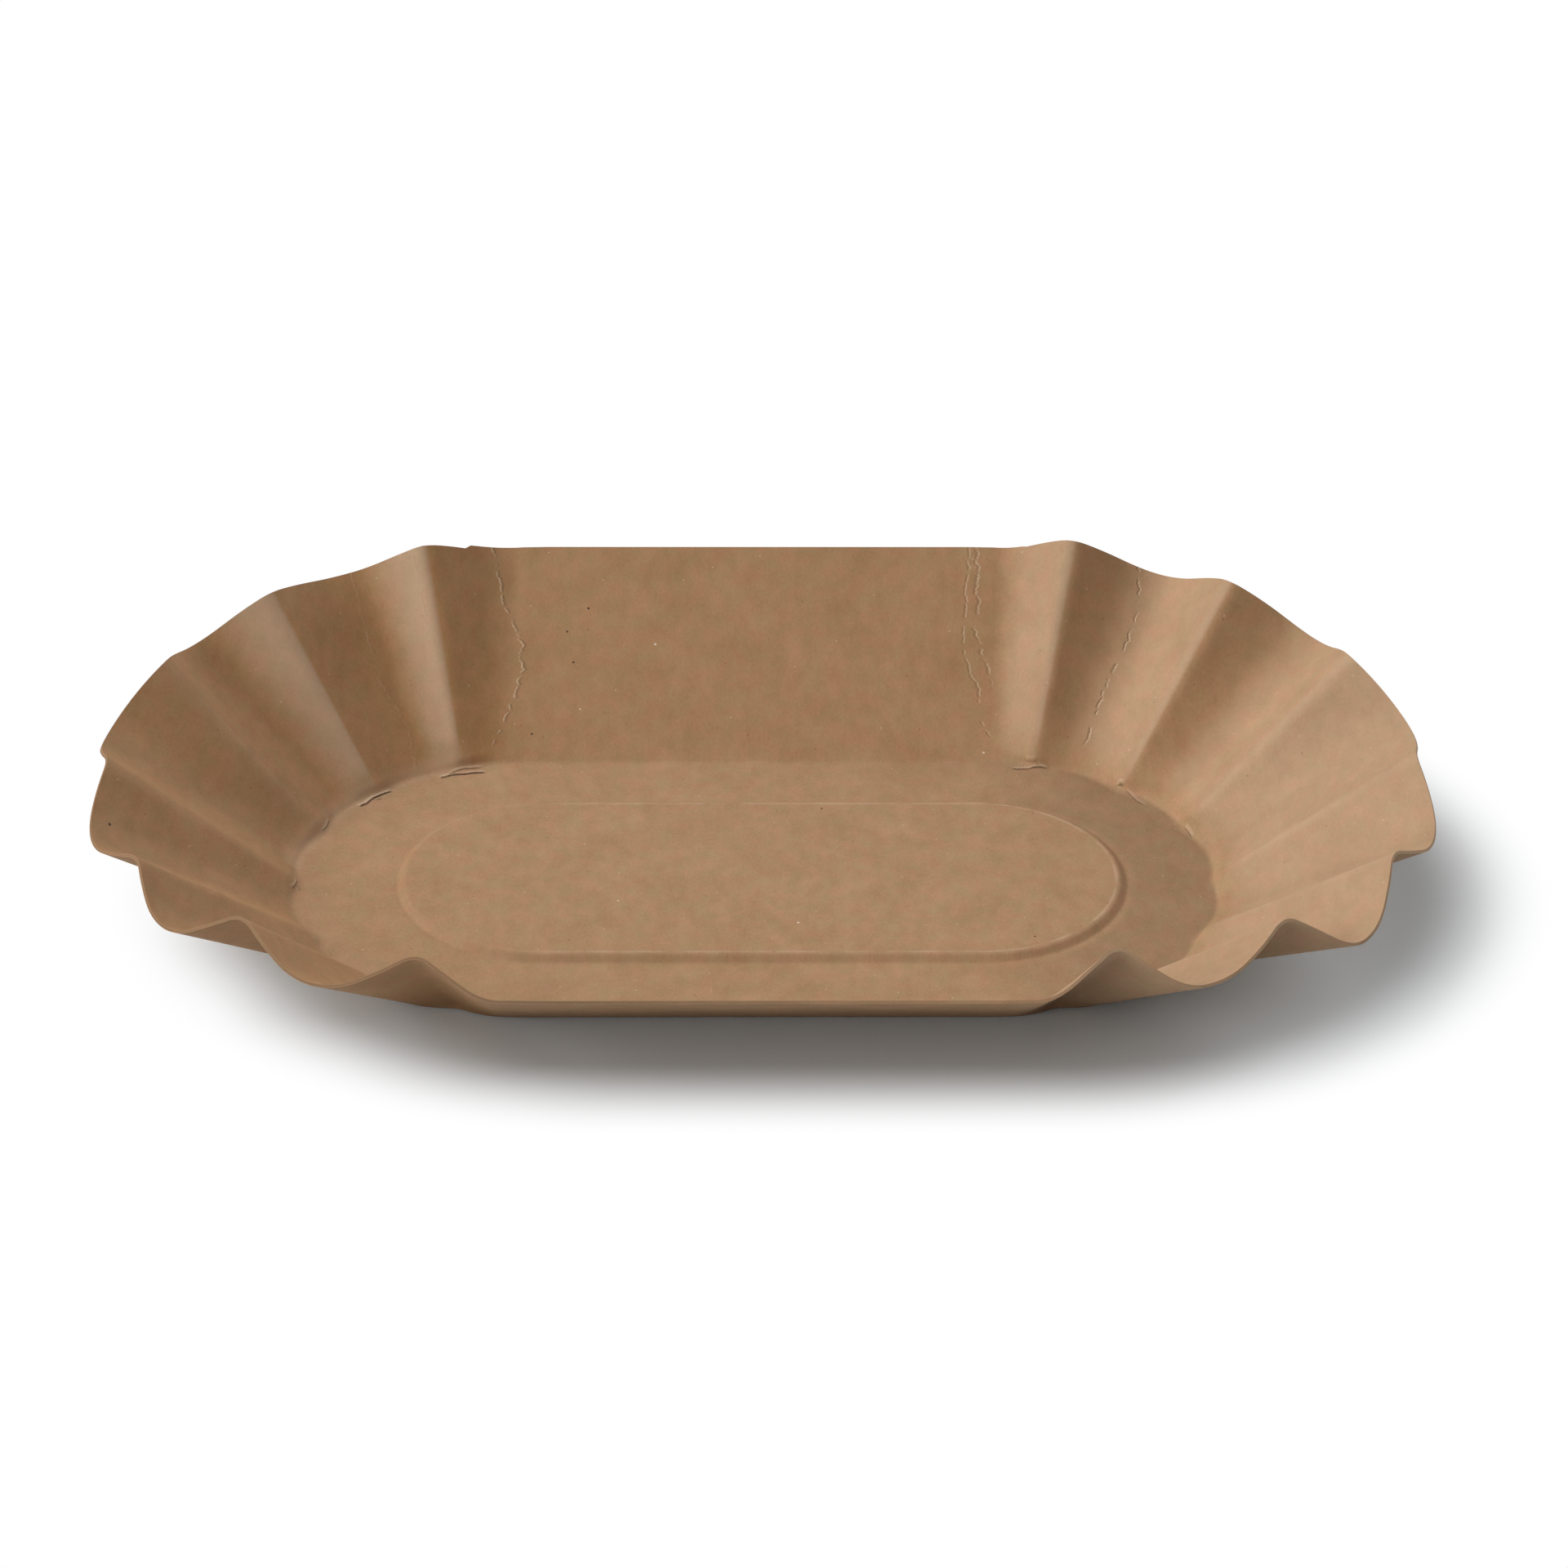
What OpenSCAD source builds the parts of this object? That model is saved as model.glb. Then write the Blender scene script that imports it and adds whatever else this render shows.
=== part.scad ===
// Oblong food tray pressed from one sheet of kraft board. Its front and back walls are
// flat, each round end is gathered into flutes, and the floor has a raised oblong panel.
// Millimetres. The tray stands on z = 0 with its length along X.

/* [Floor] */
// Length of the flat front and back walls, and of the floor between its round ends
straight_l = 58.6; // [46:0.2:110]
// Radius of the floor's round ends, out to the corner where the walls start
base_r = 31.2; // [27:0.2:42]
// Length of the raised panel between its round ends
panel_l = 57.6; // [30:0.2:68]
// Radius of the raised panel's round ends
panel_r = 18.8; // [10:0.2:21]
// Height of the step round the raised panel
step_h = 0.9; // [0.6:0.1:1.8]
// Slope of that step, in degrees
step_a = 45; // [30:1:60]
// Fall of the margin between the step and the corner, in degrees
margin_a = 3; // [0:0.5:8]
// Width of the level ring at the corner, which the tray stands on
ring_w = 2.2; // [1.6:0.1:3]

/* [Walls] */
// Length of the walls, measured up their slope from the corner
wall_l = 32.4; // [18:0.2:45]
// Lean of the flat walls from upright, in degrees
wall_a = 53.5; // [40:0.5:60]
// Radius of the bend from the floor into the walls
bend_r = 1.2; // [0.6:0.1:2]

/* [Flutes] */
// Ridges round each end
ridges = 7; // [5:1:8]
// Part of each end beside a flat wall that has no flutes, in degrees
plain_a = 3.5; // [1:0.5:10]
// Lean of the hollows at the end of the tray, in degrees from upright
hollow_a = 62.3; // [58:0.1:68]
// Lean of the ridges' line from corner to rim at the end of the tray
ridge_a = 51.7; // [46:0.1:56]
// Lean of that line for the ridges beside the flat walls
side_ridge_a = 43.6; // [38:0.1:52]
// Length of a ridge's foot, where it rises out of the corner
foot_l = 1.8; // [1.2:0.1:4]
// Part of a ridge's depth that it has at the end of its foot
foot_part = 0.12; // [0:0.01:0.25]
// Depth of the corner's scallops, from a ridge to a hollow
scallop = 0.7; // [0:0.1:1.6]
// Part of a flute's half width that is rounded at its ridge
ridge_part = 0.16; // [0.1:0.02:0.6]
// Part of a flute's half width that is rounded in its hollow
hollow_part = 0.44; // [0.1:0.02:0.8]

/* [Board] */
// Thickness of the board
board_t = 0.4; // [0.3:0.05:0.7]

/* [Hidden] */

kraft = [0.66, 0.52, 0.39];

// Steps across half a flute, round a fold of the floor and round the corner bend
flute_steps = 6;
fold_steps = 2;
bend_steps = 3;

// Half the way up the wall, and half the angle, over which a slope is measured
probe_l = 0.01;
probe_a = 0.05;

// Radii of the floor's folds on the upper face, over an inner radius of fold_r
fold_r = 0.2;
crest_r = board_t + fold_r;

// The step's run and drop are two folds with a straight ramp between them
ramp_h = step_h - crest_r * (1 - cos(step_a)) - fold_r * (cos(margin_a) - cos(step_a));
step_foot_r = panel_r + crest_r * sin(step_a) + ramp_h / tan(step_a)
    + fold_r * (sin(step_a) - sin(margin_a));
ring_r = base_r - ring_w;
step_foot_z = board_t + (ring_r - step_foot_r) * tan(margin_a);

// Flutes of one end take equal angles between its two plain parts
flute_a = (180 - 2 * plain_a) / ridges;

// Fall from a ridge, 0 at its crest, to the hollow, 1 at q = 1: a round, a flat and a round
function fall(q) =
    let (steep = 1 / (1 - ridge_part / 2 - hollow_part / 2))
    q < ridge_part ? steep * q * q / (2 * ridge_part)
    : q < 1 - hollow_part ? steep * (q - ridge_part / 2)
    : 1 - steep * (1 - q) * (1 - q) / (2 * hollow_part);

function smooth(t) = t * t * (3 - 2 * t);

// Growth of a ridge along its foot, 0 at the corner to 1 at t = 1: a flat, then a round
function foot(t) = t < 0.5 ? t * 4 / 3 : t < 1 ? 1 - (1 - t) * (1 - t) * 4 / 3 : 1;

// Wall at angle a round an end, which is 0 on the tray's long axis, as
// [lean of the hollows, how much steeper the ridge is, place of the corner past base_r]
function fluting(a) =
    let (
        across = min(abs(a) / (90 - plain_a), 1),
        flutes = (across + 1) * ridges / 2,
        down = fall(abs(2 * (flutes - floor(flutes)) - 1)),
        hollow = hollow_a - (hollow_a - wall_a) * pow(across, 2),
        ridge = ridge_a - (ridge_a - side_ridge_a) * pow(across * ridges / (ridges - 1), 2),
        fade = smooth(min((1 - across) * ridges, 1))
    )
    across == 1 ? [wall_a, 0, 0]
    : [hollow, (hollow - ridge) * (1 - down), scallop * (down - 0.5) * fade];

// Point [reach, height] on the upper face of a wall, v up from the corner
function wall_point(w, v) =
    let (
        along = v * cos(w[1]),
        rise = wall_l * sin(w[1]) * (foot_part * foot(v / foot_l) + (1 - foot_part) * v / wall_l)
    )
    [base_r + w[2] * (1 - v / wall_l) + along * sin(w[0]) - rise * cos(w[0]),
        board_t + along * cos(w[0]) + rise * sin(w[0])];

// Slope of the wall from level at v
function wall_slope(w, v) =
    let (step = wall_point(w, v + probe_l) - wall_point(w, v - probe_l))
    atan2(step[1], step[0]);

// A row of the section is [reach, height, slope] on the upper face.
// This one is the arc of radius r that turns a row's slope from a0 to a1 in n steps.
function turn(d, z, r, a0, a1, n) =
    let (s = sign(a1 - a0))
    [for (k = [0:n])
        let (a = a0 + (a1 - a0) * k / n)
        [d + s * r * (sin(a) - sin(a0)), z - s * r * (cos(a) - cos(a0)), a]];

// Section of the raised panel's edge, the same all round
panel_rows =
    let (
        crest = turn(panel_r, step_foot_z + step_h, crest_r, 0, -step_a, fold_steps),
        ramp_end = crest[fold_steps] + ramp_h * [1 / tan(step_a), -1, 0]
    )
    concat(crest, turn(ramp_end[0], ramp_end[1], fold_r, -step_a, -margin_a, fold_steps));

// Section from the level ring out to the rim. The bend at the corner is tighter where a
// ridge's foot leaves less room for it.
function wall_rows(w) =
    let (
        rise = wall_slope(w, probe_l),
        corner_r = base_r + w[2],
        tangent = min(bend_r * tan(rise / 2), foot_l / 2)
    )
    concat(
        [[ring_r, board_t, 0]],
        turn(corner_r - tangent, board_t, tangent / tan(rise / 2), 0, rise, bend_steps),
        [for (v = [foot_l * 0.7, foot_l, wall_l / 2, wall_l]) concat(wall_point(w, v), wall_slope(w, v))]);

// Angles of the stations round one end, from one flat wall to the other
end_angles = concat(
    [-90],
    [for (k = [-ridges * flute_steps:ridges * flute_steps]) k * flute_a / (2 * flute_steps)],
    [90]);

// A station is [side of the tray, angle round its end]
stations = [for (side = [1, -1]) for (a = end_angles) [side, a]];

// Point on the upper face, from a row whose round end is centred half_l along the tray
function upper(s, half_l, row) =
    let (a = s[0] > 0 ? s[1] : s[1] + 180)
    [s[0] * half_l + row[0] * cos(a), row[0] * sin(a), row[1]];

// The same point on the lower face, which lies square to the upper one. ahead and behind are
// its row at an angle probe_a further on and further back.
function lower(s, half_l, row, ahead, behind) =
    let (
        a = s[0] > 0 ? s[1] : s[1] + 180,
        out = [cos(a), sin(a), 0],
        along = [-sin(a), cos(a), 0],
        rate = (ahead - behind) * 90 / (PI * probe_a),
        through = row[0] * (sin(row[2]) * out - [0, 0, cos(row[2])])
            - (rate[0] * sin(row[2]) - rate[1] * cos(row[2])) * along
    )
    upper(s, half_l, row) + board_t * through / norm(through);

// Closed skin over rings of n points each, with a flat cap on the first and last ring
module skin(rings) {
    n = len(rings[0]);
    last = len(rings) - 1;
    polyhedron(
        points = [for (ring = rings) for (p = ring) p],
        faces = concat(
            [[for (i = [n - 1:-1:0]) i]],
            [for (j = [0:last - 1]) for (i = [0:n - 1])
                let (a = j * n + i, b = j * n + (i + 1) % n)
                each [[a, b, b + n], [a, b + n, a + n]]],
            [[for (i = [0:n - 1]) last * n + i]]),
        convexity = 8);
}

module tray() {
    walls = [for (s = stations) wall_rows(fluting(s[1]))];
    ahead = [for (s = stations) wall_rows(fluting(s[1] + probe_a))];
    behind = [for (s = stations) wall_rows(fluting(s[1] - probe_a))];
    count = [0:len(stations) - 1];
    over = concat(
        [for (row = panel_rows) [for (s = stations) upper(s, panel_l / 2, row)]],
        [for (j = [0:len(walls[0]) - 1])
            [for (i = count) upper(stations[i], straight_l / 2, walls[i][j])]]);
    under = concat(
        [for (row = panel_rows) [for (s = stations) lower(s, panel_l / 2, row, row, row)]],
        [for (j = [0:len(walls[0]) - 1])
            [for (i = count)
                lower(stations[i], straight_l / 2, walls[i][j], ahead[i][j], behind[i][j])]]);
    color(kraft) skin(concat(over, [for (j = [len(under) - 1:-1:0]) under[j]]));
}

tray();
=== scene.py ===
import math

import bmesh
import bpy
import numpy as np
from mathutils import Matrix, Vector


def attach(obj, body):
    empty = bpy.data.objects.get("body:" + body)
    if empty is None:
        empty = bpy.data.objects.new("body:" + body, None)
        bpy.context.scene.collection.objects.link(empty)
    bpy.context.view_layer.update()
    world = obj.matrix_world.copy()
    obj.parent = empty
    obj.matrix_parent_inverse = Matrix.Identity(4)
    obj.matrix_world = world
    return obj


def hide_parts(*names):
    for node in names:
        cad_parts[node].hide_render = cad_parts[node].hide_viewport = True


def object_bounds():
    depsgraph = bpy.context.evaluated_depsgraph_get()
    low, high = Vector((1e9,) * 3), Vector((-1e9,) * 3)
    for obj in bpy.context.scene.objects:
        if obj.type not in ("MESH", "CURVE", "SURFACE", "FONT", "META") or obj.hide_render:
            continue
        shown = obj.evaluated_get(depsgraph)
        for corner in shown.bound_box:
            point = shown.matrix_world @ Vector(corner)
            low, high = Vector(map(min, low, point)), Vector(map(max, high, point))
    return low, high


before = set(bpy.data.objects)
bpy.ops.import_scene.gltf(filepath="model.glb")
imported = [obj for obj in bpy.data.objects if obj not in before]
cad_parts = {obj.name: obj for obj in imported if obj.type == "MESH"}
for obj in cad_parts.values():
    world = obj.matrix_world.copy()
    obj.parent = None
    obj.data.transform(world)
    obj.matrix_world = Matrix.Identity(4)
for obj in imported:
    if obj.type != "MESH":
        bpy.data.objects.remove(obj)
cad_low, cad_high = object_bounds()

MM = 0.001

# Floor, walls and board, as the frame's solid has them
STRAIGHT = 58.6 * MM
BASE_R = 31.2 * MM
PANEL_L = 57.6 * MM
PANEL_R = 18.8 * MM
STEP_H = 0.9 * MM
STEP_A = 43.0
MARGIN_A = 3.0
RING_W = 2.2 * MM
WALL_L = 32.4 * MM
WALL_A = 53.5
BEND_R = 1.2 * MM
RIDGES = 7
PLAIN_A = 3.5
HOLLOW_A = 62.3
RIDGE_A = 51.7
SIDE_RIDGE_A = 43.6
FOOT_L = 1.8 * MM
FOOT_PART = 0.12
SCALLOP = 0.7 * MM
RIDGE_PART = 0.16
HOLLOW_PART = 0.44
BOARD = 0.4 * MM

FLUTE_A = (180 - 2 * PLAIN_A) / RIDGES
FLUTE_W = BASE_R * math.radians(FLUTE_A)
PLAIN_PART = PLAIN_A / FLUTE_A
# Radii of the panel's crest and of its step's foot, and how far in from PANEL_R the crest
# starts. The step is softer here than in the frame's solid.
CREST_R = 1.0 * MM
STEP_FOOT_R = 0.8 * MM
SOFT_STEP = 0.3 * MM
RING_R = BASE_R - RING_W

# Each pressed fold stands a little off its regular place and lean. These go from the front
# of an end to its back, in degrees, one for each ridge and each hollow between two ridges.
RIDGE_TURN = {"right": (0, 0.5, 0.5, 1.5, 1.5, 0, 0.5), "left": (0, 1.5, -0.5, 0, 0.5, -2, -2.5)}
RIDGE_LEAN = {"right": (0.2, 0.5, 2, 1.5, -1, -3.5, 0.2), "left": (2, 0.5, 2, 1.5, 0, 1, 2)}
HOLLOW_TURN = {"right": (-2, -1, 0, 1, 0.5, 1.5), "left": (0, 0.5, 0, 0, 0, 0.5)}
HOLLOW_LEAN = {"right": (-2, 1.5, -0.5, -4.5, -2.5, -1.5), "left": (-1.5, -1, -0.5, -1, -2.5, -3.5)}
# The floor's left end is pressed a little longer than its right end
LEFT_FLOOR_EXTRA = 2.0 * MM

# Places on the sheet below are [flute coordinate, way up the wall in mm]. The flute coordinate
# runs from 0 at the front of an end to RIDGES at its back, with a hollow at each whole number
# between and a ridge at each half. It goes on over the plain part beside the flutes and along
# the flat wall. The way up is below 0 on the floor.
# Pleats crushed at the ridges' feet: [height of the lip in mm, how strong the painted shadow
# under it and the painted highlight on its edge are], then the places along the line. A lip
# rises from its line and falls off above it, in mm, and fades at both ends of the line, in flutes.
LIP_RISE = 0.16
LIP_FALL = 0.45
LIP_FADE = 0.05
PLEATS = {
    "left": (((0.22, 1.0), (6.15, -1.3), (6.34, -1.25), (6.51, -1.6), (6.71, -1.9)),
             ((0.14, 0.7), (6.33, -0.9), (6.41, -0.45), (6.53, -0.2), (6.60, -0.45), (6.70, -0.5)),
             ((0.26, 1.2), (5.15, -0.7), (5.27, -0.95), (5.41, -0.5), (5.53, -0.6), (5.65, -0.9)),
             ((0.10, 0.6), (5.39, -1.1), (5.51, -1.35)),
             ((0.16, 0.6), (4.48, 0.0), (4.62, -0.05), (4.74, 0.4)),
             ((0.20, 0.7), (3.37, 0.6), (3.50, 0.0), (3.60, -0.3)),
             ((0.10, 0.4), (3.37, -0.9), (3.48, -0.6))),
    "right": (((0.26, 0.7), (6.33, -0.1), (6.43, 0.1), (6.50, -0.2), (6.55, -0.8), (6.63, -1.1),
               (6.74, -1.2)),
              ((0.15, 0.2), (6.44, 0.95), (6.62, 0.8)),
              ((0.20, 0.6), (5.48, 0.9), (5.54, 0.9), (5.60, 0.3)),
              ((0.10, 0.5), (5.14, -0.8), (5.28, -0.8), (5.36, -0.35), (5.47, 0.4)),
              ((0.15, 0.5), (4.32, -0.1), (4.41, 0.3), (4.52, 0.5)),
              ((0.10, 0.3), (4.32, -0.6), (4.43, -0.3)),
              ((0.15, 0.2), (3.32, -1.4), (3.50, -1.2)),
              ((0.10, 0.3), (3.26, -0.3), (3.35, -0.1))),
}
# Cracks down the folds: [how open], then the places along each, from the rim down. The one in
# CRACKS_BESIDE runs close beside another.
CRACKS = {
    "left": ((0.8, (6.86, 32.4), (6.905, 23.7), (7.0, 18.5), (7.01, 12.8), (6.93, 8), (6.8, 3)),
             (0.2, (5.99, 32.4), (5.96, 25), (5.93, 15), (6.0, 8), (5.95, 1)),
             (0.15, (6.41, 32.4), (6.42, 24), (6.38, 16))),
    "right": ((1.0, (6.118, 32.4), (6.036, 26.5), (6.02, 20), (6.05, 13), (6.036, 5)),
              (0.6, (7.13, 32.4), (7.16, 27), (7.18, 24), (7.20, 17), (7.15, 14), (7.07, 11),
               (7.03, 5), (6.92, 3.4))),
}
CRACKS_BESIDE = {"right": ((0.6, (7.07, 32.4), (7.07, 24), (7.09, 20), (7.01, 14.5), (6.98, 12)),)}
# Specks: [along the tray from its middle, across it, on the flat blank, size in mm, dark or pale]
SPECKS = ((-23.2, 54.3, 0.17, 1), (-25.9, 50.8, 0.15, 1), (-24.8, 46.2, 0.16, 1), (8.2, 17.1, 0.16, 1),
          (-89.4, -8.8, 0.24, 1), (-29.6, 35.5, 0.15, 1), (35.7, -14.8, 0.15, 1), (30.8, 32.7, 0.15, 0),
          (-14.0, 48.9, 0.17, 0), (-23.6, 39.2, 0.12, 0), (4.6, -11.4, 0.17, 0), (-19.2, -6.0, 0.13, 0),
          (-28.6, -30.0, 0.14, 0))
# Nicks in the rim beside the back ridges: [from x, to x, depth in mm]
NICKS = {"left": ((6.50, 6.745, 0.55),), "right": ((6.60, 6.83, 0.15),)}
# How much painted shade darkens and painted light pales the board at their strongest, as parts of 1
MARGIN_SHADE = 0.17
CREASE_SHADE = 0.08
LOW_FLANK_SHADE = 0.16
LEFT_RIDGE_LIGHT = 0.26
RIGHT_END_LIGHT = 0.14
RIGHT_CREST_LIGHT = 0.08
RIGHT_BACK_LESS = 0.02
CORNER_LIGHT = 0.15

# Stations across half a flute and along a flat wall
HALF_FLUTE_STEPS = 22
FLAT_STEPS = 44
# Rows of the sheet on each part of its section
PANEL_ROWS = 7
FOLD_ROWS = 4
MARGIN_ROWS = 8
RING_ROWS = 9
BEND_ROWS = 8
FOOT_ROWS = 12
WALL_ROWS = 26
# One row in this many is kept on the lower face
UNDER_EVERY = 2


def smooth(t):
    return t * t * (3 - 2 * t)


def ramp(value, low, high):
    """0 at low, 1 at high, smooth between."""
    return smooth(np.clip((value - low) / (high - low), 0, 1))


def fall(q):
    """Fall from a ridge, 0 at q = 0, to the hollow beside it, 1 at q = 1."""
    steep = 1 / (1 - RIDGE_PART / 2 - HOLLOW_PART / 2)
    crest = steep * q * q / (2 * RIDGE_PART)
    flank = steep * (q - RIDGE_PART / 2)
    trough = 1 - steep * (1 - q) ** 2 / (2 * HOLLOW_PART)
    return np.where(q < RIDGE_PART, crest, np.where(q < 1 - HOLLOW_PART, flank, trough))


def foot(t):
    """Growth of a ridge along its foot, 0 at the corner to 1 at t = 1."""
    return np.where(t < 0.5, t * 4 / 3, np.where(t < 1, 1 - (1 - t) ** 2 * 4 / 3, 1))


def place(x, end):
    """Angle round an end, from its long axis towards the back, at flute coordinate x."""
    folds = np.zeros(2 * RIDGES + 1)
    folds[1::2] = RIDGE_TURN[end]
    folds[2:-1:2] = HOLLOW_TURN[end]
    return (x - RIDGES / 2) * FLUTE_A + np.interp(2 * x, np.arange(2 * RIDGES + 1), folds)


def fluting(x, end):
    """Lean of the hollows, how much steeper the ridge is, and the corner's place past BASE_R,
    at flute coordinate x, which runs from 0 to RIDGES."""
    across = np.abs(2 * x / RIDGES - 1)
    flute = np.minimum(x.astype(int), RIDGES - 1)
    down = fall(np.abs(2 * (x - flute) - 1))
    lean = np.concatenate([[0], HOLLOW_LEAN[end], [0]])
    t = smooth(x - flute)
    hollow = HOLLOW_A - (HOLLOW_A - WALL_A) * across**2 + lean[flute] * (1 - t) + lean[flute + 1] * t
    ridge = RIDGE_A - (RIDGE_A - SIDE_RIDGE_A) * (across * RIDGES / (RIDGES - 1)) ** 2
    ridge = ridge + np.array(RIDGE_LEAN[end])[flute]
    fade = smooth(np.minimum((1 - across) * RIDGES, 1))
    return np.array([hollow, (hollow - ridge) * (1 - down), SCALLOP * (down - 0.5) * fade])


def wall_point(wall, v):
    """Reach and height on the upper face of a wall, v up from the corner."""
    hollow, dip = np.radians(wall[0]), np.radians(wall[1])
    along = v * np.cos(dip)
    rise = WALL_L * np.sin(dip) * (FOOT_PART * foot(v / FOOT_L) + (1 - FOOT_PART) * v / WALL_L)
    reach = BASE_R + wall[2] * (1 - v / WALL_L) + along * np.sin(hollow) - rise * np.cos(hollow)
    return reach, BOARD + along * np.cos(hollow) + rise * np.sin(hollow)


def arc(reach, height, radius, from_a, to_a, steps):
    """Points of an arc that turns from one slope to another, which may differ by station."""
    way = np.sign(to_a - from_a)
    points = []
    for t in np.linspace(0, 1, steps + 1):
        a, b = np.radians(from_a + (to_a - from_a) * t), math.radians(from_a)
        points.append((reach + way * radius * (np.sin(a) - math.sin(b)),
                       height - way * radius * (np.cos(a) - math.cos(b))))
    return points


class Stations:
    """Lines across the sheet, counter-clockwise from the front of the right end. along is a
    station's place along the tray, from -1 to 1 between the centres of the round ends."""

    def __init__(self):
        t = np.linspace(0, 1, HALF_FLUTE_STEPS + 1)[:-1]
        half = 0.5 * (0.45 * t + 0.55 * smooth(t))
        x = np.append(np.concatenate([k / 2 + half for k in range(2 * RIDGES)]), RIDGES)
        t = (1 - np.cos(np.pi * np.linspace(0, 1, FLAT_STEPS + 1)))[1:-1] / 2
        beside = PLAIN_PART + STRAIGHT * (0.5 - np.abs(t - 0.5)) / FLUTE_W
        flat = np.array([np.full_like(t, WALL_A), 0 * t, 0 * t])
        ones = np.ones_like(x)
        self.along = np.concatenate([ones, 1 - 2 * t, -ones, 2 * t - 1])
        self.angle = np.concatenate([
            place(x, "right"), np.full_like(t, 90), 180 - place(x, "left")[::-1], np.full_like(t, 270)])
        self.flute = np.concatenate([x, RIDGES + beside, x[::-1], -beside])
        self.wall = np.concatenate([fluting(x, "right"), flat, fluting(x, "left")[:, ::-1], flat], axis=1)
        self.count = len(self.angle)

    def of(self, end):
        """The stations of the right or the left half."""
        return self.along > 0 if end == "right" else self.along < 0

    def wall_l(self):
        """Length of the wall at each station, less the nicks in the rim."""
        length = np.full(self.count, WALL_L)
        for end in NICKS:
            for near, far, depth in NICKS[end]:
                t = (self.flute - near) / (far - near)
                length -= np.where(self.of(end) & (t > 0) & (t < 1), t * depth * MM, 0)
        return length


def sheet_rows(st):
    """Rows [half length, reach, height, way up the wall] of the upper face, middle to rim."""
    sin_step, cos_step = math.sin(math.radians(STEP_A)), math.cos(math.radians(STEP_A))
    sin_fall, cos_fall = math.sin(math.radians(MARGIN_A)), math.cos(math.radians(MARGIN_A))
    ramp_h = STEP_H - CREST_R * (1 - cos_step) - STEP_FOOT_R * (cos_fall - cos_step)
    run = ramp_h * cos_step / sin_step
    crest_r = PANEL_R - SOFT_STEP
    step_foot_r = crest_r + CREST_R * sin_step + run + STEP_FOOT_R * (sin_step - sin_fall)
    step_foot_z = BOARD + (RING_R - step_foot_r) * sin_fall / cos_fall
    top = step_foot_z + STEP_H
    panel, floor = PANEL_L / 2, STRAIGHT / 2
    rows = [(panel, crest_r * k / PANEL_ROWS, top) for k in range(PANEL_ROWS)]
    crest = arc(crest_r, top, CREST_R, 0, -STEP_A, FOLD_ROWS)
    step_foot = arc(crest[-1][0] + run, crest[-1][1] - ramp_h, STEP_FOOT_R, -STEP_A, -MARGIN_A, FOLD_ROWS)
    rows += [(panel, reach, height) for reach, height in crest + step_foot]
    for t in np.linspace(0, 1, MARGIN_ROWS + 1)[1:]:
        rows.append((panel + (floor - panel) * t, step_foot_r + (RING_R - step_foot_r) * t,
                     step_foot_z + (BOARD - step_foot_z) * t))
    near, far = wall_point(st.wall, 0), wall_point(st.wall, 0.01 * MM)
    rise = np.degrees(np.arctan2(far[1] - near[1], far[0] - near[0]))
    half_turn = np.tan(np.radians(rise / 2))
    tangent = np.minimum(BEND_R * half_turn, FOOT_L / 2)
    start = near[0] - tangent
    rows += [(floor, RING_R + (start - RING_R) * t, BOARD) for t in np.linspace(0, 1, RING_ROWS + 1)[1:-1]]
    rows = [(*row, row[1] - BASE_R) for row in rows]
    bend = arc(start, BOARD, tangent / half_turn, 0, rise, BEND_ROWS)
    for t, point in zip(np.linspace(0, 1, BEND_ROWS + 1), bend):
        rows.append((floor, *point, (start - BASE_R) * (1 - t) + tangent * t))
    length = st.wall_l()
    foot_end = 1.5 * FOOT_L
    ways = [tangent + (foot_end - tangent) * t for t in np.linspace(0, 1, FOOT_ROWS + 1)[1:]]
    ways += [foot_end + (length - foot_end) * (0.7 * t + 0.3 * t * t)
             for t in np.linspace(0, 1, WALL_ROWS + 1)[1:]]
    rows += [(floor, *wall_point(st.wall, v), v) for v in ways]
    return np.array([[np.broadcast_to(value, st.count) for value in row] for row in rows])


def way_through(points):
    """Way square through the sheet from its upper to its lower face."""
    around = np.roll(points, -1, 1) - np.roll(points, 1, 1)
    steps = np.diff(points, axis=0)
    steps /= np.linalg.norm(steps, axis=-1, keepdims=True)
    up = np.concatenate([steps[:1], steps[:-1] + steps[1:], steps[-1:]])
    through = np.cross(around, up)
    through[0] = (0, 0, -1)
    return through / np.linalg.norm(through, axis=-1, keepdims=True)


def pleats(st, slant):
    """Height of the crushed lips over the sheet, the way up from the nearest pleat's line, in mm,
    and how dark the painted shadow along that line is."""
    lift, nearest, dark = np.zeros(slant.shape), np.full(slant.shape, 99.0), np.zeros(slant.shape)
    for end in PLEATS:
        for (height, shade), *places in PLEATS[end]:
            x, way = np.array(places).T
            ends = np.minimum(st.flute - x[0], x[-1] - st.flute)
            fade = ramp(ends, 0, LIP_FADE) * st.of(end)
            above = slant / MM - np.interp(st.flute, x, way)
            lip = np.where(above < 0, 0, ramp(above, 0, LIP_RISE) * np.exp(-above / LIP_FALL))
            lift = np.maximum(lift, lip * height * fade * MM)
            near = (fade > 0) & (np.abs(above) < np.abs(nearest))
            nearest = np.where(near, above, nearest)
            dark = np.where(near, shade * fade, dark)
    return lift, nearest, dark


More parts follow.
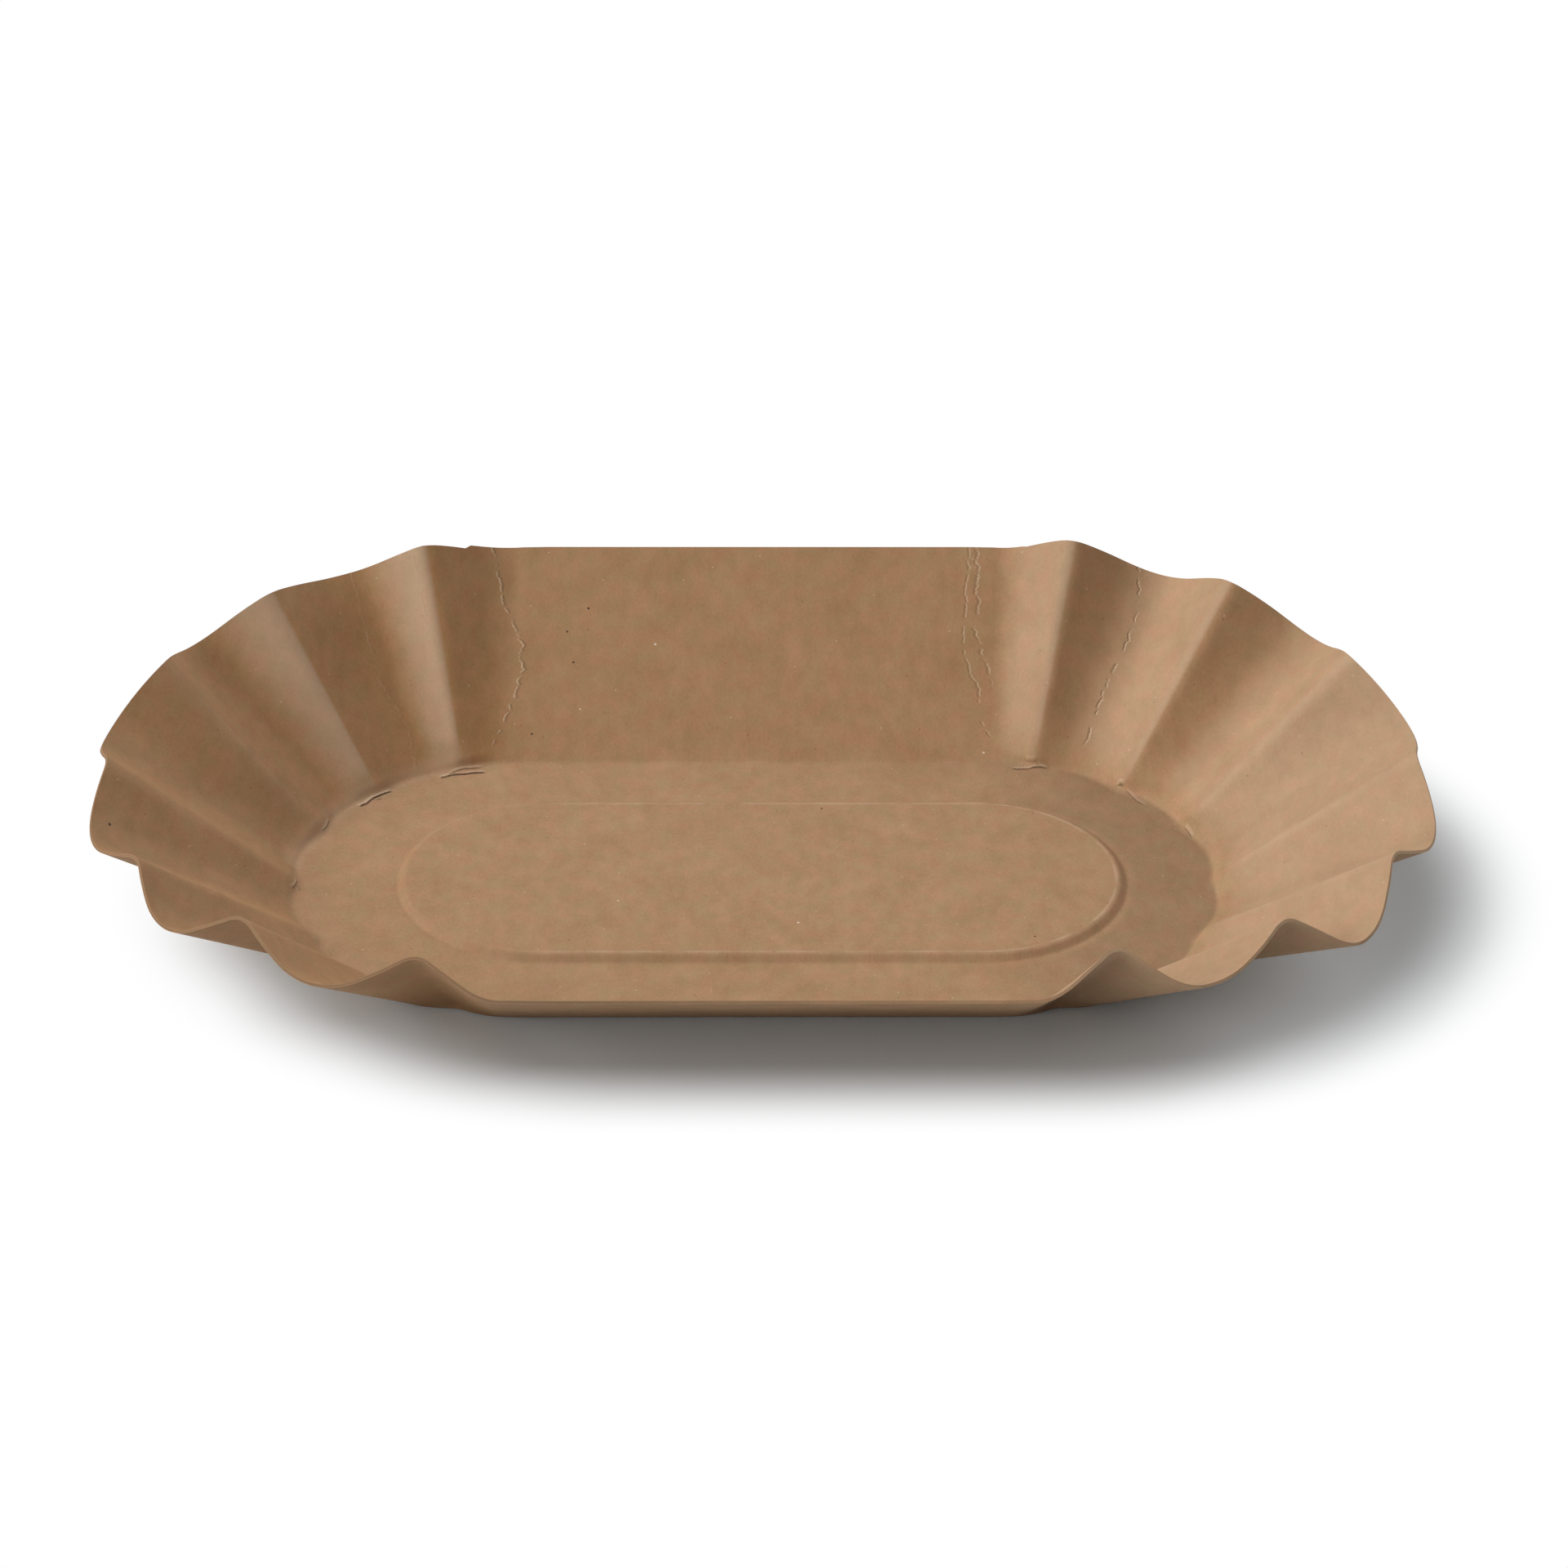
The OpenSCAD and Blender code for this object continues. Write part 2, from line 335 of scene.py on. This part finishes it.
def cracks(st, slant, lines):
    """Distance across the sheet to the nearest of the lines, in mm, and how open that one is."""
    nearest, open_part = np.full(slant.shape, 99.0), np.zeros(slant.shape)
    for end in lines:
        for part, *places in lines[end]:
            x, way = np.array(places[::-1]).T
            width = FLUTE_W / MM * (1 + np.where(st.flute > RIDGES + PLAIN_PART, 0, 0.85 * slant / BASE_R))
            distance = (st.flute - np.interp(slant / MM, way, x)) * width
            near = st.of(end) & (np.abs(distance) < np.abs(nearest))
            fade = ramp(slant / MM, way[0] - 1, way[0] + 1)
            nearest = np.where(near, distance, nearest)
            open_part = np.where(near, part * fade, open_part)
    return nearest, open_part


def tones(st, slant):
    """How much painted shade darkens the board in each place, how much painted light pales it, and how warm
    a tint of shade it takes.
    """
    way = slant / MM
    left = st.along < 0
    in_flutes = ramp(np.minimum(st.flute, RIDGES - st.flute), 0, 0.25)
    back_part = ramp(st.flute, 4.2, 5.2)
    up_wall = ramp(way, 1.5, 5.5)

    # Place within a flute, and the flank that is turned to the key light
    at = st.flute - np.floor(st.flute)
    from_ridge = np.abs(2 * at - 1)
    lit_side = np.where(left, at < 0.5, at > 0.5)
    near_ridge = ramp(from_ridge, np.where(lit_side, 0.9, 0.06), 0)

    # Painted shade: the margin right of the panel, the hollows' creases, a lit flank low at the left
    margin = ramp(way, -10.8, -10.0) * ramp(way, 0.5, -0.1)
    to_right = np.clip(1.5 * np.cos(np.radians(st.angle)), 0, 1) * ~left
    crease = ramp(from_ridge, 0.76, 1) * in_flutes * up_wall
    low_flank_shade = left * ramp(np.abs(st.flute - 4.3), 0.4, 0) * ramp(way, 20, 8) * up_wall
    shade = MARGIN_SHADE * margin * to_right + CREASE_SHADE * crease + LOW_FLANK_SHADE * low_flank_shade

    # Painted light on the right end, on the ridges at the back of the left end and its corner below
    crest = ramp(from_ridge, 0.15, 0)
    painted_light = np.where(left, LEFT_RIDGE_LIGHT * back_part * near_ridge,
                      RIGHT_END_LIGHT + RIGHT_CREST_LIGHT * crest - RIGHT_BACK_LESS * back_part)
    turned_away = ~left * (st.flute > 5) * (at < 0.5) * ramp(at, 0, 0.35)
    painted_light = painted_light * (1 - turned_away * (1 - near_ridge)) * in_flutes * up_wall
    corner = left * (st.flute > 3.8) * (st.flute < 6.6) * ramp(np.abs(way - 0.8), 2.4, 0)
    painted_light = painted_light + CORNER_LIGHT * corner

    # Painted warm tint of shade on the flanks that are turned away, and the back wall a little
    lit = np.where(lit_side, ramp(from_ridge, 1, 0.4), near_ridge) * back_part
    fold = np.where(left, 0.7 + 0.3 * back_part, 0.35 * back_part) * (1 - lit)
    flat = 0.4 * (st.flute > RIDGES / 2)
    shade_tint = (flat + (fold - flat) * in_flutes) * ramp(way, -0.5, 1.5)
    return shade, painted_light, shade_tint


def sheet_surface(st):
    """Upper face without its lips, way through the sheet, place on the blank, and way up the wall."""
    half, reach, height, slant = (sheet_rows(st)[:, k] for k in range(4))
    a = np.radians(st.angle)
    out = np.stack([np.cos(a), np.sin(a), 0 * a], -1)
    centre = np.stack([half * st.along, 0 * half, 0 * half], -1)
    points = centre + reach[..., None] * out
    points[..., 2] = height
    outside_panel = ramp(reach, PANEL_R + STEP_H, BASE_R)
    to_left = ((1 - st.along) / 2) ** 3
    points[..., 0] -= LEFT_FLOOR_EXTRA * to_left * (1 - np.maximum(slant, 0) / WALL_L) * outside_panel
    through = way_through(points)
    blank = centre + (BASE_R + slant)[..., None] * out
    return points, through, blank, slant


def ring_mesh(name, rings):
    """Closed skin over rings of points; the first and last ring each fold flat on a line."""
    points = np.concatenate(rings)
    n = len(rings[0])
    j, i = np.meshgrid(np.arange(len(rings) - 1), np.arange(n), indexing="ij")
    a, b = (j * n + i).ravel(), (j * n + (i + 1) % n).ravel()
    faces = np.stack([a, a + n, b + n, b], -1)
    mesh = bpy.data.meshes.new(name)
    mesh.from_pydata(points.tolist(), [], faces.tolist())
    return mesh


def make_tray():
    st = Stations()
    points, through, blank, slant = sheet_surface(st)
    lift, pleat, pleat_shading = pleats(st, slant)
    shade, painted_light, shade_tint = tones(st, slant)
    upper, lower = points - lift[..., None] * through, points + BOARD * through
    last = len(upper) - 1
    under_rows = sorted(set(range(0, last, UNDER_EVERY)) | {last})[::-1]
    edge = [upper[last] + t * (lower[last] - upper[last]) for t in (0.33, 0.67)]
    mesh = ring_mesh("tray_sheet", list(upper) + edge + [lower[k] for k in under_rows])
    order = list(range(last + 1)) + [last, last] + under_rows
    crack, crack_open = cracks(st, slant, CRACKS)
    beside, beside_open = cracks(st, slant, CRACKS_BESIDE)
    on_edge = [last < k < last + 3 for k in range(len(order))]
    is_under = [k > last for k in range(len(order))]
    values = {
        "slant": slant[order] / MM,
        "crack": crack[order],
        "crack_open": crack_open[order],
        "beside": beside[order],
        "beside_open": beside_open[order],
        "pleat": pleat[order],
        # Painted shade, painted light and a warm tint of shade, and the pleats' painted shading
        "shade": shade[order],
        "painted_light": painted_light[order],
        "shade_tint": shade_tint[order],
        "pleat_shading": pleat_shading[order] * ~np.array(is_under)[:, None],
        # Painted shade on the rim's cut edge, strongest at the left end
        "cut_edge_shade": np.outer(on_edge, 0.5 - 0.5 * st.along),
        "lower_face": np.repeat(is_under, st.count),
    }
    for key, value in values.items():
        layer = mesh.attributes.new(key, "FLOAT", "POINT")
        layer.data.foreach_set("value", value.astype(np.float32).ravel())
    flat = mesh.attributes.new("blank", "FLOAT_VECTOR", "POINT")
    flat.data.foreach_set("vector", (blank[order] / MM).astype(np.float32).ravel())
    bm = bmesh.new()
    bm.from_mesh(mesh)
    bmesh.ops.remove_doubles(bm, verts=bm.verts, dist=1e-7)
    bmesh.ops.recalc_face_normals(bm, faces=bm.faces)
    bm.to_mesh(mesh)
    bm.free()
    mesh.shade_smooth()
    mesh.set_sharp_from_angle(angle=math.radians(50))
    obj = bpy.data.objects.new("tray_sheet", mesh)
    bpy.context.scene.collection.objects.link(obj)
    return obj


class Nodes:
    """Short calls for building the nodes of a material or of the world."""

    def __init__(self, owner):
        owner.use_nodes = True
        self.tree = owner.node_tree
        self.tree.nodes.clear()

    def add(self, kind, inputs=(), **settings):
        node = self.tree.nodes.new(kind)
        for key, value in settings.items():
            setattr(node, key, value)
        for key, value in dict(inputs).items():
            self.set(node.inputs[key], value)
        return node

    def set(self, socket, value):
        if isinstance(value, bpy.types.NodeSocket):
            self.tree.links.new(value, socket)
        else:
            socket.default_value = value

    def math(self, operation, *values, clamp=False):
        node = self.add("ShaderNodeMath", operation=operation, use_clamp=clamp)
        for socket, value in zip(node.inputs, values):
            self.set(socket, value)
        return node.outputs[0]

    def total(self, *values):
        result = values[0]
        for value in values[1:]:
            result = self.math("ADD", result, value)
        return result

    def noise(self, vector, scale, detail=3.0, rough=0.55, stretch=(1, 1, 1)):
        mapped = self.add("ShaderNodeMapping", {"Vector": vector, "Scale": stretch})
        return self.add("ShaderNodeTexNoise", {
            "Vector": mapped.outputs[0], "Scale": scale, "Detail": detail, "Roughness": rough}).outputs[0]

    def attribute(self, name, output="Fac"):
        return self.add("ShaderNodeAttribute", attribute_name=name).outputs[output]

    def between(self, value, low, high):
        """0 at low, 1 at high, smooth between."""
        node = self.add("ShaderNodeMapRange", {
            "Value": value, "From Min": low, "From Max": high}, interpolation_type="SMOOTHSTEP")
        return node.outputs["Result"]

    def blend(self, factor, a, b, kind="MIX"):
        node = self.add("ShaderNodeMix", data_type="RGBA", blend_type=kind)
        for key, value in (("Factor", factor), ("A", a), ("B", b)):
            socket = [s for s in node.inputs if s.name == key and (key == "Factor" or s.type == "RGBA")][0]
            self.set(socket, value)
        return [s for s in node.outputs if s.type == "RGBA"][0]


DARK_FIBRE = (0.320, 0.184, 0.092, 1)
PALE_FIBRE = (0.410, 0.250, 0.138, 1)
RED_CAST = (1.05, 0.985, 1.0, 1)
GREEN_CAST = (0.955, 1.015, 0.97, 1)
SHADE_TINT_COLOUR = (1.0, 0.90, 0.73, 1)
SHADED = (0.0, 0.0, 0.0, 1)
PAINTED_LIGHT_COLOUR = (0.66, 0.50, 0.36, 1)
CRACK_LINE = (0.13, 0.07, 0.035, 1)
TORN_FIBRES = (0.66, 0.48, 0.31, 1)
PLEAT_SHADOW = (0.06, 0.03, 0.015, 1)
LIP_HIGHLIGHT = (0.62, 0.46, 0.32, 1)
CUT_EDGE_SHADE_COLOUR = (0.17, 0.105, 0.06, 1)
# Pale and dark
SPECK_COLOURS = ((0.66, 0.56, 0.42, 1), (0.05, 0.025, 0.012, 1))
# The grain is longer across the tray than along it
GRAIN_STRETCH = (1, 0.6, 1)
# Distance in mm that keeps the grain of the lower face apart from that of the upper face
FACES_APART = 37.0
# Way in from the corner, in mm, to the painted highlight along the crest of the panel's step
PANEL_LINE = 12.8


def kraft_board():
    material = bpy.data.materials.new("kraft_board")
    n = Nodes(material)
    blank = n.attribute("blank", "Vector")
    side = n.math("MULTIPLY", n.attribute("lower_face"), FACES_APART)
    side = n.add("ShaderNodeCombineXYZ", {"Z": side}).outputs[0]
    on_sheet = n.add("ShaderNodeVectorMath", {0: blank, 1: side}, operation="ADD").outputs[0]

    # Pulp: clouds, mottle and grain, with a redder and a greener cast in places
    cloud = n.noise(on_sheet, 0.12, 2)
    mottle = n.noise(on_sheet, 0.5, 4, 0.65, GRAIN_STRETCH)
    grain = n.noise(on_sheet, 3.0, 3, 0.6, GRAIN_STRETCH)
    tone = n.total(
        n.math("MULTIPLY", cloud, 0.3), n.math("MULTIPLY", mottle, 0.4), n.math("MULTIPLY", grain, 0.3))
    paleness = n.add("ShaderNodeMapRange", {
        "Value": tone, "From Min": 0.37, "From Max": 0.63}).outputs[0]
    colour = n.blend(paleness, DARK_FIBRE, PALE_FIBRE)
    tint = n.between(n.noise(on_sheet, 0.33, 3, 0.6), 0.35, 0.65)
    colour = n.blend(1.0, colour, n.blend(tint, RED_CAST, GREEN_CAST), "MULTIPLY")

    # Painted light and shade on the folds, and a painted highlight along the crest of the panel's step
    colour = n.blend(n.attribute("shade_tint"), colour, SHADE_TINT_COLOUR, "MULTIPLY")
    colour = n.blend(n.attribute("shade"), colour, SHADED)
    colour = n.blend(n.attribute("painted_light"), colour, PAINTED_LIGHT_COLOUR)
    along_sheet = n.add("ShaderNodeSeparateXYZ", {0: blank}).outputs[0]
    crest = n.between(n.math("ABSOLUTE", n.math("ADD", n.attribute("slant"), PANEL_LINE)), 0.3, 0.1)
    crest = n.math("MULTIPLY", crest, n.between(along_sheet, -38, -20))
    crest = n.math("MULTIPLY", crest, n.between(n.noise(on_sheet, 0.25, 2), 0.3, 0.6))
    colour = n.blend(n.math("MULTIPLY", crest, 0.22), colour, PAINTED_LIGHT_COLOUR)

    # Cracks show pale torn fibres with a dark line on one side
    on_crack = n.add("ShaderNodeCombineXYZ", {
        "X": n.attribute("slant"), "Y": n.math("MULTIPLY", along_sheet, 0.15)}).outputs[0]
    jitter = n.math("MULTIPLY", n.math("SUBTRACT", n.noise(on_crack, 0.6, 5, 0.7), 0.5), 1.9)
    gaps = n.between(n.noise(on_crack, 0.8, 3), 0.42, 0.54)
    pale, shade = 0.0, 0.0
    for line, torn in (("crack", "crack_open"), ("beside", "beside_open")):
        across = n.math("ADD", n.attribute(line), jitter)
        torn = n.math("MULTIPLY", n.attribute(torn), gaps)
        edge = n.between(n.math("ABSOLUTE", across), 0.17, 0.04)
        dark = n.between(n.math("ABSOLUTE", n.math("ADD", across, -0.24)), 0.24, 0.06)
        pale = n.math("MAXIMUM", pale, n.math("MULTIPLY", edge, torn))
        shade = n.math("MAXIMUM", shade, n.math("MULTIPLY", dark, torn))
    colour = n.blend(n.math("MULTIPLY", shade, 0.5), colour, CRACK_LINE)
    colour = n.blend(n.math("MULTIPLY", pale, 0.75), colour, TORN_FIBRES)

    # Painted shadow in the line under each crushed lip, and a painted highlight on the lip's edge above it
    pleat = n.math("ADD", n.attribute("pleat"), n.math("MULTIPLY", n.math("SUBTRACT", mottle, 0.5), 0.5))
    pleat_shading = n.attribute("pleat_shading")
    fold = n.math("MULTIPLY", n.between(n.math("ABSOLUTE", pleat), 0.17, 0.06), pleat_shading, clamp=True)
    lip = n.math("ABSOLUTE", n.math("SUBTRACT", pleat, 0.42))
    painted_light = n.math("MULTIPLY", n.between(lip, 0.35, 0.1), pleat_shading, clamp=True)
    colour = n.blend(n.math("MULTIPLY", painted_light, 0.5), colour, LIP_HIGHLIGHT)
    colour = n.blend(n.math("MULTIPLY", fold, 0.9), colour, PLEAT_SHADOW)

    # Specks in the pulp, some at their places and small ones anywhere
    for x, y, size, dark in SPECKS:
        away = n.add("ShaderNodeVectorMath", {0: on_sheet, 1: (x, y, 0)}, operation="DISTANCE")
        spot = n.between(away.outputs["Value"], size * 1.3, size * 0.6)
        colour = n.blend(spot, colour, SPECK_COLOURS[dark])
    for scale, size, dark in ((0.085, 0.012, 0), (0.07, 0.010, 1)):
        cells = n.add("ShaderNodeTexVoronoi", {"Vector": on_sheet, "Scale": scale}, voronoi_dimensions="2D")
        small = n.between(cells.outputs["Distance"], size, size * 0.4)
        colour = n.blend(n.math("MULTIPLY", small, 0.5), colour, SPECK_COLOURS[dark])
    # Painted shade on the rim's cut edge, strongest at the left end where the key light falls on it
    colour = n.blend(n.math("MULTIPLY", n.attribute("cut_edge_shade"), 0.7), colour, CUT_EDGE_SHADE_COLOUR)

    heights = n.total(n.math("MULTIPLY", mottle, 0.03), n.math("MULTIPLY", grain, 0.015),
                      n.math("MULTIPLY", pale, 0.06), n.math("MULTIPLY", shade, -0.05))
    bump = n.add("ShaderNodeBump", {"Height": heights, "Distance": 0.001, "Strength": 0.6})
    shader = n.add("ShaderNodeBsdfPrincipled", {
        "Base Color": colour, "Roughness": 0.75, "Normal": bump.outputs[0]})
    shader.inputs["Specular IOR Level"].default_value = 0.3
    out = n.add("ShaderNodeOutputMaterial")
    n.tree.links.new(shader.outputs[0], out.inputs["Surface"])
    return material


def seen_rays(n):
    """1 on rays that see a surface: from the camera, off gloss or through glass."""
    rays = n.add("ShaderNodeLightPath").outputs
    seen = n.math("ADD", rays["Is Camera Ray"], rays["Is Glossy Ray"], clamp=True)
    return n.math("ADD", seen, rays["Is Transmission Ray"], clamp=True)


FLOOR_TONE = 0.97
BOUNCE_TONE = 0.6
FLOOR_SIZE = 6.0
FLOOR_GAP = 0.02 * MM
# The floor is seen as plain white beyond this reach from a middle line that lies a little to
# the tray's right, and shows its shadow nearer in
SHADOW_SHIFT = 9 * MM
SHADOW_REACH = (48 * MM, 68 * MM)
SHADOW_NARROW = 1.16
# White a little cooler than the lamps, which keeps the shadow grey beside the brown board
FLOOR_TINT = (0.90, 0.965, 1.0, 1)


def white_backdrop():
    """White floor that carries the tray's shadow, and throws a little less light back."""
    material = bpy.data.materials.new("pale_floor")
    n = Nodes(material)
    seen = seen_rays(n)
    tone = n.add("ShaderNodeMapRange", {
        "Value": seen, "To Min": BOUNCE_TONE, "To Max": FLOOR_TONE}).outputs[0]
    tinted = n.blend(1.0, n.blend(seen, (1, 1, 1, 1), FLOOR_TINT), tone, "MULTIPLY")
    shader = n.add("ShaderNodeBsdfDiffuse", {"Color": tinted})
    position = n.add("ShaderNodeNewGeometry").outputs["Position"]
    x, y, _ = n.add("ShaderNodeSeparateXYZ", {0: position}).outputs
    past_end = n.math("SUBTRACT", n.math("ABSOLUTE", n.math("SUBTRACT", x, SHADOW_SHIFT)), STRAIGHT / 2)
    end = n.math("MAXIMUM", past_end, 0.0)
    side = n.math("MULTIPLY", y, SHADOW_NARROW)
    reach = n.math("SQRT", n.math("ADD", n.math("MULTIPLY", end, end), n.math("MULTIPLY", side, side)))
    white = n.add("ShaderNodeEmission", {"Strength": 1.0})
    open_floor = n.math("MULTIPLY", n.between(reach, *SHADOW_REACH), seen)
    both = n.add("ShaderNodeMixShader", {0: open_floor, 1: shader.outputs[0], 2: white.outputs[0]})
    out = n.add("ShaderNodeOutputMaterial")
    n.tree.links.new(both.outputs[0], out.inputs["Surface"])
    return material


# Soft lamps: [bearing from the tray's right end, height, spread, share of the light on a level
# surface]. The key light comes from the left, and the rest of the light from all round.
LAMPS = {
    "key": (177, 46, 45, 0.625),
    "front_left": (225, 25, 40, 0.14),
    "back_right": (36, 25, 40, 0.205),
}
FILL_SHARE = 0.03


def studio_world():
    world = bpy.data.worlds.new("studio")
    bpy.context.scene.world = world
    n = Nodes(world)
    level = n.add("ShaderNodeMapRange", {
        "Value": seen_rays(n), "To Min": FILL_SHARE, "To Max": 1.0}).outputs[0]
    light = n.add("ShaderNodeBackground", {"Strength": level})
    out = n.add("ShaderNodeOutputWorld")
    n.tree.links.new(light.outputs[0], out.inputs["Surface"])


def stage():
    s = FLOOR_SIZE / 2
    mesh = bpy.data.meshes.new("floor")
    mesh.from_pydata([(-s, -s, 0), (s, -s, 0), (s, s, 0), (-s, s, 0)], [], [(0, 1, 2, 3)])
    floor = bpy.data.objects.new("floor", mesh)
    floor.location.z = cad_low.z - FLOOR_GAP
    mesh.materials.append(white_backdrop())
    bpy.context.scene.collection.objects.link(floor)
    studio_world()

    for name, (bearing, height, spread, share) in LAMPS.items():
        a, e = math.radians(bearing), math.radians(height)
        direction = Vector((math.cos(a) * math.cos(e), math.sin(a) * math.cos(e), math.sin(e)))
        lamp = bpy.data.lights.new(name, "SUN")
        lamp.angle = math.radians(spread)
        lamp.energy = math.pi * share / direction.z
        sun = bpy.data.objects.new(name, lamp)
        sun.rotation_euler = direction.to_track_quat("Z", "Y").to_euler()
        bpy.context.scene.collection.objects.link(sun)


# The photograph's view: directions from the tray's middle, and the point on the middle line
# that the camera aims at
CAMERA_TURN = -0.87
CAMERA_HEIGHT = 32.48
CAMERA_ROLL = 0.55
CAMERA_DISTANCE = 910.7 * MM
CAMERA_AIM = (2.77 * MM, 0, 16.2 * MM)
MM_PER_PIXEL = 0.109
IMAGE_SIZE = 1920
SENSOR = 36.0


def camera():
    a, e = math.radians(CAMERA_TURN), math.radians(CAMERA_HEIGHT)
    back = Vector((math.sin(a) * math.cos(e), -math.cos(a) * math.cos(e), math.sin(e)))
    place_at = CAMERA_DISTANCE * back
    look = (Vector(CAMERA_AIM) - place_at).normalized()
    data = bpy.data.cameras.new("camera")
    data.sensor_width = SENSOR
    data.lens = SENSOR * (CAMERA_DISTANCE / MM / MM_PER_PIXEL) / IMAGE_SIZE
    data.clip_start, data.clip_end = 0.01, 20
    cam = bpy.data.objects.new("camera", data)
    turned = look.to_track_quat("-Z", "Y").to_matrix() @ Matrix.Rotation(math.radians(CAMERA_ROLL), 3, "Z")
    cam.matrix_world = Matrix.Translation(place_at) @ turned.to_4x4()
    bpy.context.scene.collection.objects.link(cam)
    bpy.context.scene.camera = cam


bpy.context.scene.view_settings.view_transform = "Standard"
tray = make_tray()
tray.data.materials.append(kraft_board())
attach(tray, "root")
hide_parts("tray")
stage()
camera()
